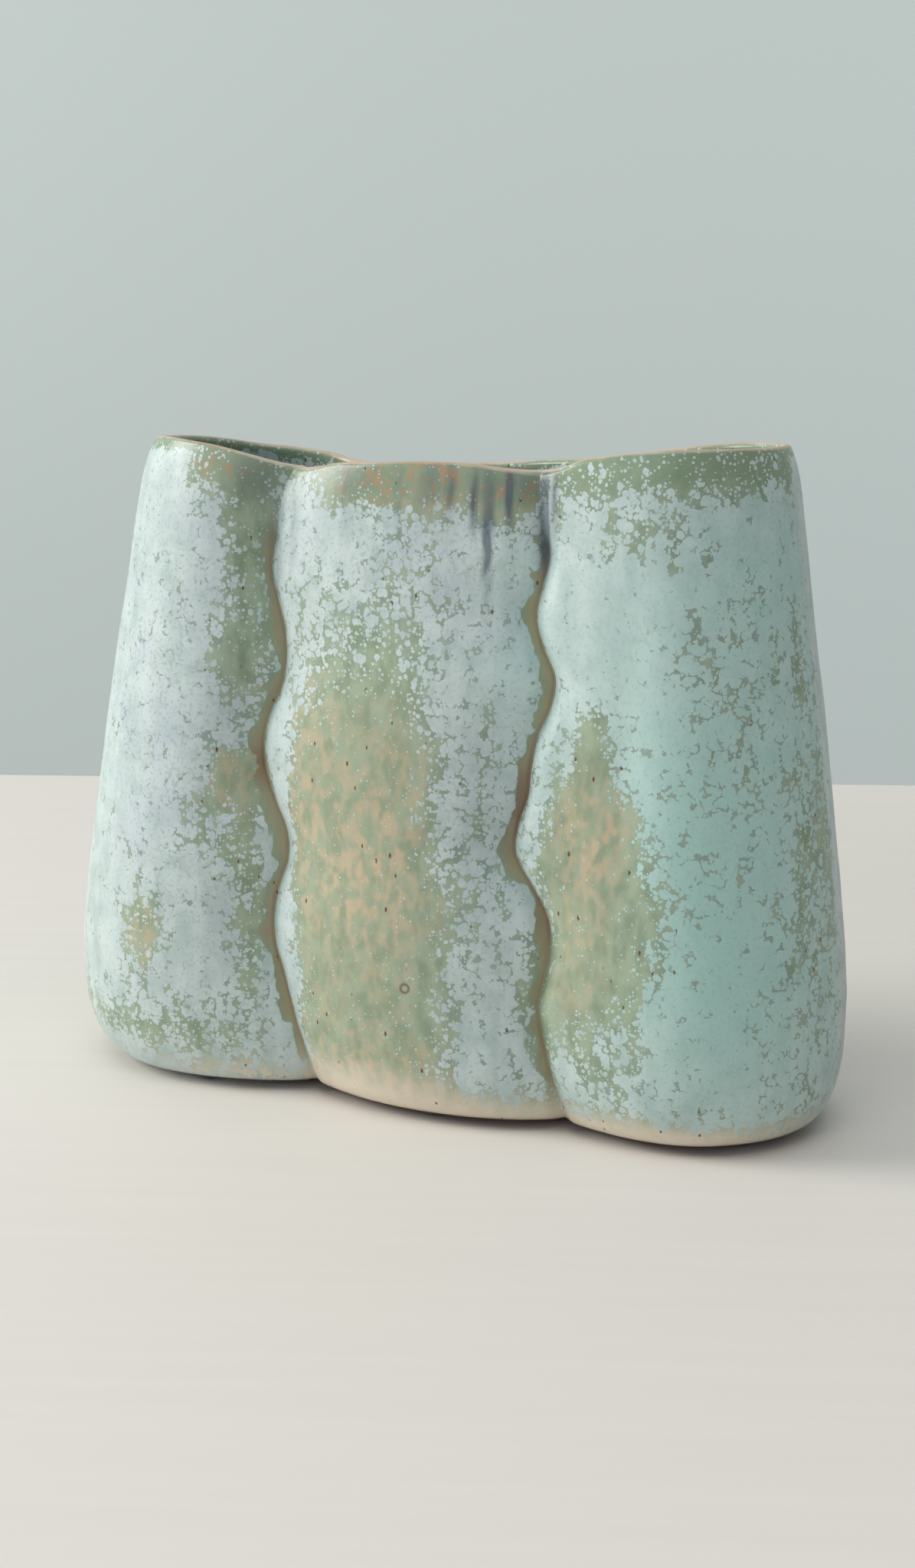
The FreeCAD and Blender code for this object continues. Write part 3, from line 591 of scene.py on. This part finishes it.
def glaze_fields(node):
    """The masks, clouds and places that the glaze is made from, by name."""
    position = node("TexCoord", out="Object")
    mm = node("VectorMath", {0: position, "Scale": 1 / MM}, operation="SCALE")
    field = {name: node("Attribute", out="Fac", attribute_name=name)
             for name in (*PATCHES, "seam", "below_rim", "inside")}
    for name, size, detail, stretch, shift in CLOUDS:
        place = node("Mapping", {"Vector": mm, "Location": [shift] * 3, "Scale": (1, 1, 1 / stretch)})
        field[name] = node("TexNoise", {
            "Vector": place, "Scale": 1 / size, "Detail": detail, "Roughness": CLOUD_ROUGHNESS}, "Fac")
    field["mm"] = mm
    field["height"] = node("SeparateXYZ", (mm,), "Z")
    field["depth"] = field["height"].node.outputs["Y"]
    field["wander"] = node("TexNoise", {"Vector": mm, "Scale": WANDERS_PER_MM, "Detail": 2.0}, "Fac")
    offset = node("VectorMath", (field["wander"].node.outputs["Color"], (0.5, 0.5, 0.5)), **LESS)
    offset = node("VectorMath", {0: offset, "Scale": WANDER_REACH}, operation="SCALE")
    field["wandering"] = node("VectorMath", (mm, offset), **PLUS)
    return field


def glaze_thickness(node, field):
    """Adds how bare the ground lies, from 0 to 1, and the ribbons along the seams."""
    slow, quick, seam, below_rim = (field[name] for name in ("slow", "quick", "seam", "below_rim"))
    uneven = node("Math", (quick, 0.8, node("Math", (slow, 0.35, -0.42), **TIMES_PLUS)), **TIMES_PLUS)
    bare = node("Math", (field["bare"], uneven), **PLUS)
    width = node("Math", (quick, 4.0, node("Math", (field["swell"], 11.0, -4.1), **TIMES_PLUS)), **TIMES_PLUS)
    to_edge = node("Math", (width, seam), **LESS)
    ribbon = node("MapRange", (to_edge, -0.5, 0.5), **SOFT_STEP)
    ribbon = node("Math", (ribbon, node("MapRange", (below_rim, 12.0, 26.0), **SOFT_STEP)), **TIMES)
    ribbon = node("Math", (ribbon, node("MapRange", (field["height"], 4.0, 20.0), **SOFT_STEP)), **TIMES)
    to_band = node("Math", (node("Math", (quick, 6.0, 0.5), **TIMES_PLUS), below_rim), **LESS)
    rim_band = node("MapRange", (to_band, -2.0, 2.0, 0.0, 0.65), **SOFT_STEP)
    inner = node("Math", (field["inside"], node("Math", (slow, 0.8), **TIMES)), **TIMES)
    for other in (rim_band, node("Math", (ribbon, 1.1), **TIMES), inner):
        bare = node("Math", (bare, other), **MOST)
    field.update(bareness=bare, ribbon=ribbon, ribbon_width=width)


def glaze_flakes(node, field, flake):
    """Round flakes of zinc crystal, which grow until they meet where the glaze lies thick."""
    flakes = None
    for share, shift, thick, thin, scatter, soft in FLAKES:
        place = node("Mapping", {"Vector": field["wandering"], "Location": [shift] * 3})
        distance = node("TexVoronoi", {"Vector": place, "Scale": 1 / (flake * share)})
        chance = node("SeparateColor", (distance.node.outputs["Color"],))
        grown = node("MapRange", (field["bareness"], 0.0, 1.0, thick - scatter / 2, thin), **SOFT_STEP)
        reach = node("Math", (chance, scatter, grown), **TIMES_PLUS)
        to_edge = node("Math", (reach, distance), **LESS)
        layer = node("MapRange", (to_edge, -soft / 2, soft / 2), **SOFT_STEP)
        flakes = node("Math", (flakes, layer), **MOST) if flakes else layer
    return node("Math", (flakes, node("Math", (field["ribbon"], -0.95, 1.0), **TIMES_PLUS)), **TIMES)


def glaze_ground(node, field, colours):
    """The glassy ground: sage that breaks to tan, pools green under the rim and is thin over the foot."""
    slow, quick, seam, tan = (field[name] for name in ("slow", "quick", "seam", "tan"))
    warm = node("Math", (slow, 0.7, node("Math", (tan, -0.42), **PLUS)), use_clamp=True, **TIMES_PLUS)
    breaks = node("MapRange", (field["breaks"], 0.36, 0.7), **SOFT_STEP)
    pooled = node("Math", (slow, 10.0, field["below_rim"]), **TIMES_PLUS)
    pooled = node("MapRange", (pooled, 19.0, 11.0), **SOFT_STEP)
    spots = node("Math", (node("MapRange", (field["spots"], 0.53, 0.63), **SOFT_STEP), pooled), **TIMES)
    above_foot = node("Math", (tan, -5.0, field["height"]), **TIMES_PLUS)
    above_foot = node("Math", (quick, 9.0, above_foot), **TIMES_PLUS)
    above_edge = node("Math", (quick, 2.0, field["height"]), **TIMES_PLUS)
    outer = node("Math", (field["ribbon_width"], -0.62, seam), **TIMES_PLUS)
    outer = node("MapRange", (outer, -0.8, 0.6), **SOFT_STEP)
    ribbon_green = node("Mix", {
        SHARE: field["upright"], LOWER: colours.sage_dark, UPPER: colours.olive}, **BLEND)
    ribbon_colour = node("Mix", {SHARE: outer, LOWER: colours.ribbon, UPPER: ribbon_green}, **BLEND)
    clay = node("MapRange", (quick, 0.3, 0.5), **SOFT_STEP)
    clay = node("Math", (field["brown"], clay), use_clamp=True, **TIMES)
    ribbon_colour = node("Mix", {SHARE: clay, LOWER: ribbon_colour, UPPER: colours.brown}, **BLEND)
    ground = colours.sage_dark
    for share, colour in (
            (node("MapRange", (field["upright"], 0.3, 0.65), **SOFT_STEP), colours.sage),
            (node("Math", (warm, 0.5), **TIMES), colours.olive),
            (node("Math", (breaks, warm), **TIMES), colours.tan),
            (node("MapRange", (field["bareness"], 0.6, 0.15, 0.0, 0.85), **SOFT_STEP), colours.veil),
            (node("Math", (pooled, 0.75), **TIMES), colours.pool),
            (node("Math", (spots, tan), use_clamp=True, **TIMES), colours.rust),
            (node("MapRange", (above_foot, *CREAM_HEIGHTS, 0.0, 0.9), **SOFT_STEP), colours.cream),
            (node("MapRange", (above_edge, *EDGE_HEIGHTS), **SOFT_STEP), colours.tan),
            # The underside: bare clay, darkened as painted shade in the gap under the foot.
            (node("MapRange", (field["height"], *BARE_AND_SHADE_HEIGHTS), **SOFT_STEP), colours.speck_and_shade),
            (node("Math", (field["ribbon"], 0.85), **TIMES), ribbon_colour)):
        ground = node("Mix", {SHARE: share, LOWER: ground, UPPER: colour}, **BLEND)
    return ground


def glaze_crystals(node, field, colours):
    """The crystals' colour: pale blue grey, with lavender and turquoise where those glazes ran."""
    tone = node("Math", (field["tone"], 0.6, node("Math", (field["streak"], 0.4), **TIMES)), **TIMES_PLUS)
    lavender = node("MapRange", (field["slow"], 0.35, 0.75), **SOFT_STEP)
    veins = node("MapRange", (field["wander"], 0.5, 0.66), **SOFT_STEP)
    veins = node("Math", (veins, node("Math", (field["lavender"], 0.3, 0.18), **TIMES_PLUS)), **TIMES)
    crystal = colours.crystal_deep
    for share, colour in (
            (node("MapRange", (tone, 0.32, 0.62), **SOFT_STEP), colours.crystal),
            (node("Math", (field["turquoise"], 0.9), use_clamp=True, **TIMES), colours.turquoise),
            (node("Math", (field["lavender"], lavender), use_clamp=True, **TIMES), colours.lavender),
            (veins, colours.veil)):
        crystal = node("Mix", {SHARE: share, LOWER: crystal, UPPER: colour}, **BLEND)
    return crystal


def glaze_specks(node, field, flakes):
    """Iron specks half a millimetre wide, drawn out downwards, and one burst bubble of three millimetres."""
    place = node("Mapping", {"Vector": field["mm"], "Location": (15, 15, 15),
                             "Scale": (1, 1, 1 / SPECK_STRETCH)})
    distance = node("TexVoronoi", {"Vector": place, "Scale": SPECKS_PER_MM})
    chance = node("SeparateColor", (distance.node.outputs["Color"],))
    chosen = node("Math", (chance, EMPTY_SHARE), operation="GREATER_THAN")
    specks = node("Math", (node("MapRange", (distance, *SPECK_EDGE), **SOFT_STEP), chosen), **TIMES)
    specks = node("Math", (specks, node("Math", (flakes, -0.7, 1.0), **TIMES_PLUS)), **TIMES)
    flat = node("Mapping", {"Vector": field["mm"], "Scale": (1, 0, 1)})
    away = node("VectorMath", (flat, BUBBLE_PLACE), "Value", operation="DISTANCE")
    ring = node("Math", (node("MapRange", (away, *BUBBLE_OUTSIDE), **SOFT_STEP),
                         node("MapRange", (away, *BUBBLE_INSIDE, 0.0, 0.7), **SOFT_STEP)), **TIMES)
    in_front = node("Math", (field["depth"], 0.0), operation="LESS_THAN")
    return node("Math", (specks, node("Math", (ring, in_front), **TIMES)), **MOST)


def crystalline_glaze(scene):
    """Zinc crystal glaze on stoneware, poured and fired.

    It is satin, a little rougher on the crystals than on the glassy ground between them, and rippled as
    a thick glaze is. All sizes in it are millimetres.
    """
    if "crystalline_glaze" in bpy.data.materials:
        return bpy.data.materials["crystalline_glaze"]
    colours = scene.fan_vase_colours
    material, node = new_material("crystalline_glaze")
    field = glaze_fields(node)
    glaze_thickness(node, field)
    flakes = glaze_flakes(node, field, scene.fan_vase_sizes.flake)
    quick, seam, below_rim = field["quick"], field["seam"], field["below_rim"]
    runs = node("Math", (field["dark"], node("MapRange", (field["streak"], 0.2, 0.55), **SOFT_STEP)),
                use_clamp=True, **TIMES)
    rust = node("MapRange", (field["slow"], 0.42, 0.66, 0.0, 0.6), **SOFT_STEP)
    rim_colour = node("Mix", {SHARE: rust, LOWER: colours.rim, UPPER: colours.rust}, **BLEND)
    rim_edge = node("MapRange", (node("Math", (quick, 0.8, below_rim), **TIMES_PLUS), 1.3, 0.5), **SOFT_STEP)
    # A thin dark line down the seams' creases, in the specks' iron brown: partly bare clay, partly painted
    # shade in the slit between the slabs.
    in_seam = node("Math", (quick, 2.0, seam), **TIMES_PLUS)
    in_seam = node("MapRange", (in_seam, 2.1, 1.1, 0.0, 0.55), **SOFT_STEP)
    in_seam = node("Math", (in_seam, node("MapRange", (field["height"], 8.0, 30.0), **SOFT_STEP)), **TIMES)
    seam_clay_and_shade = node("Math", (in_seam, node("MapRange", (below_rim, 20.0, 30.0), **SOFT_STEP)), **TIMES)
    seam_clay_and_shade = node("Math", (seam_clay_and_shade, node("Math", (field["brown"], 0.7, 0.4), **TIMES_PLUS)), **TIMES)
    surface = glaze_ground(node, field, colours)
    for share, colour in (
            (flakes, glaze_crystals(node, field, colours)),
            (node("Math", (runs, 0.75), **TIMES), colours.drip),
            (glaze_specks(node, field, flakes), colours.speck_and_shade),
            (rim_edge, rim_colour),
            # The thin dark seam line: partly bare clay, partly painted shade.
            (seam_clay_and_shade, colours.speck_and_shade)):
        surface = node("Mix", {SHARE: share, LOWER: surface, UPPER: colour}, **BLEND)
    relief = node("Math", (field["ripple"], RIPPLE_RELIEF), **TIMES)
    relief = node("Math", (flakes, FLAKE_RELIEF, relief), **TIMES_PLUS)
    bump = node("Bump", {"Height": relief, "Distance": MM, "Strength": 0.8})
    roughness = node("MapRange", (flakes, 0.0, 1.0, 0.33, 0.47), **SOFT_STEP)
    shader = node("BsdfPrincipled", {
        "Base Color": surface, "Roughness": roughness, "Normal": bump, "IOR": 1.5})
    node("OutputMaterial", (shader,))
    return material


# Cells of haze to a metre in the bumpers.
HAZE_CELLS = 900.0


def clear_polyurethane(scene):
    """Clear polyurethane, moulded as a dome and stuck on: it is glossy and lets the table show through."""
    material, node = new_material("clear_polyurethane")
    haze = node("TexNoise", {
        "Vector": node("TexCoord", out="Object"), "Scale": HAZE_CELLS, "Detail": 2.0}, "Fac")
    roughness = node("MapRange", {"Value": haze, "To Min": 0.08, "To Max": 0.2})
    shader = node("BsdfPrincipled", {
        "Base Color": scene.fan_vase_colours.bumper, "Roughness": roughness, "IOR": 1.49,
        "Transmission Weight": 0.85})
    node("OutputMaterial", (shader,))
    return material


def matt_paint(name, colour, marks, glow=0.0):
    """Matt paint for the stage, faintly marked by its brush, and evenly lit where it has some glow.

    marks is how many brush marks the sheet has along and across.
    """
    material, node = new_material(name)
    place = node("Mapping", {"Vector": node("TexCoord", out="Object"), "Scale": (*marks, 1)})
    mottle = node("TexNoise", {"Vector": place, "Scale": 1.0, "Detail": 3.0}, "Fac")
    shade = node("MapRange", {"Value": mottle, "To Min": 0.97, "To Max": 1.03})
    tinted = node("VectorMath", {0: tuple(colour)[:3], "Scale": shade}, operation="SCALE")
    shader = node("BsdfPrincipled", {
        "Base Color": tinted, "Roughness": 0.6, "Emission Color": colour, "Emission Strength": glow})
    node("OutputMaterial", (shader,))
    return material


def colour_property(name, description, hex_colour):
    """A colour that the user can change, from its hex sRGB default."""
    return bpy.props.FloatVectorProperty(name=name, description=description, default=linear(hex_colour),
                                         subtype="COLOR", size=4, min=0, max=1)


class FanVaseColours(bpy.types.PropertyGroup):
    """Colours of the fired glazes, the bumpers and the stage."""

    crystal: colour_property("Crystals", "Zinc crystals where the glaze lies thick", "#C8D6D4")
    crystal_deep: colour_property("Deep crystals", "Thinner crystals between them", "#AEC1BE")
    turquoise: colour_property("Turquoise", "Crystals of the right lobe", "#A3CDC4")
    lavender: colour_property("Lavender", "Crystals of the left lobe", "#B9C3CE")
    sage: colour_property("Sage", "Glassy ground", "#9FB097")
    sage_dark: colour_property("Dark sage", "Glassy ground where it pools", "#84987F")
    olive: colour_property("Olive", "Ground where it thins over the clay", "#A2A78A")
    ribbon: colour_property("Ribbon", "Inner edge of the ribbons along the seams", "#A59B7C")
    pool: colour_property("Pooled glaze", "Green glass below the rim", "#80957A")
    veil: colour_property("Veil", "Blue-grey glass between crystals that nearly meet", "#8FA3A0")
    rust: colour_property("Rust", "Spots of iron below the rim", "#B68E66")
    tan: colour_property("Tan", "Ground that breaks to the clay's warmth", "#C3B396")
    cream: colour_property("Cream", "Thin glaze over the bare foot", "#E8DCCA")
    brown: colour_property("Brown", "Bare clay in the seams", "#8C6C52")
    rim: colour_property("Rim", "Edge of the rim", "#C6B7A3")
    drip: colour_property("Drips", "Dark runs below the rim", "#36465A")
    # This colour also paints shade: the thin dark line in the seams' creases and the underside in the gap
    # under the foot.
    speck_and_shade: colour_property("Specks", "Iron in the clay", "#6B4632")
    bumper: colour_property("Bumper", "Clear polyurethane", "#E6E6DE")
    table: colour_property("Table", "Painted table top", "#E1DCD5")
    wall: colour_property("Wall", "Painted wall behind the table", "#98A09E")


class FanVaseSizes(bpy.types.PropertyGroup):
    """Sizes of what the scene adds to the solids."""

    wave_depth: bpy.props.FloatProperty(
        name="Hand waves", description="Depth of the slow waves of the slabs, in millimetres", default=0.45,
        min=0, max=1)
    flake: bpy.props.FloatProperty(
        name="Flake", description="Width of the glaze's large crystals, in millimetres", default=3.1, min=1,
        max=6)


class FANVASE_OT_add_lobes(bpy.types.Operator):
    """Add the glazed walls of both end lobes"""

    bl_idname = "fanvase.add_lobes"
    bl_label = "Add end lobes"

    def execute(self, context):
        glaze, wave_depth = crystalline_glaze(context.scene), context.scene.fan_vase_sizes.wave_depth
        build_wall("left_lobe_wall", lobe("left"), LOBE_COLUMNS, (True, True), glaze, wave_depth)
        build_wall("right_lobe_wall", lobe("right"), LOBE_COLUMNS, (False, False), glaze, wave_depth)
        return {"FINISHED"}


class FANVASE_OT_add_middle(bpy.types.Operator):
    """Add the glazed front and back walls of the middle lobe"""

    bl_idname = "fanvase.add_middle"
    bl_label = "Add middle walls"

    def execute(self, context):
        glaze, wave_depth = crystalline_glaze(context.scene), context.scene.fan_vase_sizes.wave_depth
        build_wall("centre_front_wall", panel("front"), PANEL_COLUMNS, (False, True), glaze, wave_depth)
        build_wall("centre_back_wall", panel("back"), PANEL_COLUMNS, (False, True), glaze, wave_depth)
        return {"FINISHED"}


class FANVASE_OT_add_floor(bpy.types.Operator):
    """Add the glazed floor slab with the vase's rounded foot"""

    bl_idname = "fanvase.add_floor"
    bl_label = "Add floor"

    def execute(self, context):
        build_floor(crystalline_glaze(context.scene), context.scene.fan_vase_sizes.wave_depth)
        return {"FINISHED"}


class FANVASE_OT_dress_bumpers(bpy.types.Operator):
    """Give the stick-on bumpers their clear polyurethane"""

    bl_idname = "fanvase.dress_bumpers"
    bl_label = "Dress bumpers"

    def execute(self, context):
        clear = clear_polyurethane(context.scene)
        for item in context.scene.objects:
            if "bumper" in item.name:
                item.data.materials.clear()
                item.data.materials.append(clear)
        return {"FINISHED"}


# The stage, in metres and watts: where the camera stands, how it and the table are turned, how far from
# the camera the table ends, how far behind it the wall stands, the sheets' sizes and brush marks along and
# across, and the wall's glow.
CAMERA_PLACE = (0.26897, -0.58480, 0.230)
CAMERA_TURN, CAMERA_TILT, TABLE_SKEW = math.radians(24.443), math.radians(77.896), math.radians(-3.2)
TABLE_EDGE, WALL_GAP, TABLE_SIZE, WALL_SIZE = 1.08, 0.9, (6, 3, 1), (9, 6, 1)
TABLE_MARKS, WALL_MARKS, WALL_GLOW = (45, 450), (8, 8), 0.76
# Each lamp's name, place, target, width, power and colour.
LAMPS = (("window", (-2.0, -0.8, 1.14), (0, 0, 0.1), 1.28, 46, "#FFFDF8"),
         ("ceiling", (0.2, -0.4, 1.9), (0.15, -0.15, 0), 1.6, 12.5, "#FBFBFF"),
         ("front_fill", (-0.2, -1.6, 0.7), (0, 0, 0.1), 1.2, 4, "#F6F8FF"),
         ("wall_wash", (0.9, 1.0, 0.4), (0.2, 2.1, -0.4), 1.6, 4, "#FFFFFF"))
ROOM_COLOUR, ROOM_LIGHT = "#E9EDEE", 0.295


def stage_plane(name, size, place, turn, material):
    """A flat sheet of the stage."""
    deselect_all()
    bpy.ops.mesh.primitive_plane_add(size=1, location=place, rotation=turn)
    sheet = bpy.context.object
    sheet.name, sheet.scale = name, size
    sheet.data.materials.append(material)


def studio_light(name, place, target, size, power, colour):
    """A soft area light that the camera doesn't see."""
    deselect_all()
    aim = (Vector(target) - Vector(place)).to_track_quat("-Z", "Y").to_euler()
    bpy.ops.object.light_add(type="AREA", location=place, rotation=aim)
    lamp = bpy.context.object
    lamp.name, lamp.data.shape, lamp.data.size = name, "DISK", size
    lamp.data.energy, lamp.data.color = power, linear(colour)[:3]
    lamp.visible_camera = False


class FANVASE_OT_add_stage(bpy.types.Operator):
    """Add the table, the wall behind it, the studio lights and the camera"""

    bl_idname = "fanvase.add_stage"
    bl_label = "Add stage"

    def execute(self, context):
        scene = context.scene
        colours = scene.fan_vase_colours
        table = matt_paint("table_paint", colours.table, TABLE_MARKS)
        wall = matt_paint("wall_paint", colours.wall, WALL_MARKS, WALL_GLOW)
        turn = CAMERA_TURN + TABLE_SKEW
        away = Vector((-math.sin(turn), math.cos(turn), 0))
        edge = Vector(CAMERA_PLACE[:2] + (0,)) + away * TABLE_EDGE
        stage_plane("table_top", TABLE_SIZE, edge - away * TABLE_SIZE[1] / 2, (0, 0, turn), table)
        stage_plane("far_wall", WALL_SIZE, edge + away * WALL_GAP, (math.radians(90), 0, turn), wall)
        for lamp in LAMPS:
            studio_light(*lamp)
        scene.world = scene.world or bpy.data.worlds.new("soft_room")
        scene.world.use_nodes = True
        room = scene.world.node_tree.nodes["Background"]
        room.inputs["Color"].default_value = linear(ROOM_COLOUR)
        room.inputs["Strength"].default_value = ROOM_LIGHT
        scene.view_settings.view_transform = "Standard"
        deselect_all()
        bpy.ops.object.camera_add(location=CAMERA_PLACE, rotation=(CAMERA_TILT, 0, CAMERA_TURN))
        camera = context.object
        camera.data.lens, camera.data.sensor_width = 50, 36
        camera.data.clip_start, camera.data.clip_end = 0.02, 20
        scene.camera = camera
        return {"FINISHED"}


OPERATORS = (FANVASE_OT_add_lobes, FANVASE_OT_add_middle, FANVASE_OT_add_floor, FANVASE_OT_dress_bumpers,
             FANVASE_OT_add_stage)


class FANVASE_PT_panel(bpy.types.Panel):
    """The fan vase's sizes, colours and pieces"""

    bl_idname = "FANVASE_PT_panel"
    bl_label = "Fan vase"
    bl_space_type = "VIEW_3D"
    bl_region_type = "UI"
    bl_category = "Fan vase"

    def draw(self, context):
        for group in (context.scene.fan_vase_sizes, context.scene.fan_vase_colours):
            for name in group.__annotations__:
                self.layout.prop(group, name)
        for operator in OPERATORS:
            self.layout.operator(operator.bl_idname)


CLASSES = (FanVaseSizes, FanVaseColours, *OPERATORS, FANVASE_PT_panel)


def register():
    """Registers the classes and the scene's sizes and colours."""
    for item in CLASSES:
        bpy.utils.register_class(item)
    bpy.types.Scene.fan_vase_sizes = bpy.props.PointerProperty(type=FanVaseSizes)
    bpy.types.Scene.fan_vase_colours = bpy.props.PointerProperty(type=FanVaseColours)


def unregister():
    """Takes the classes and the scene's sizes and colours away again."""
    del bpy.types.Scene.fan_vase_colours
    del bpy.types.Scene.fan_vase_sizes
    for item in reversed(CLASSES):
        bpy.utils.unregister_class(item)


def main():
    """Builds the vase and its stage."""
    register()
    bpy.ops.fanvase.add_lobes()
    bpy.ops.fanvase.add_middle()
    bpy.ops.fanvase.add_floor()
    bpy.ops.fanvase.dress_bumpers()
    bpy.ops.fanvase.add_stage()


if __name__ == "__main__":
    main()
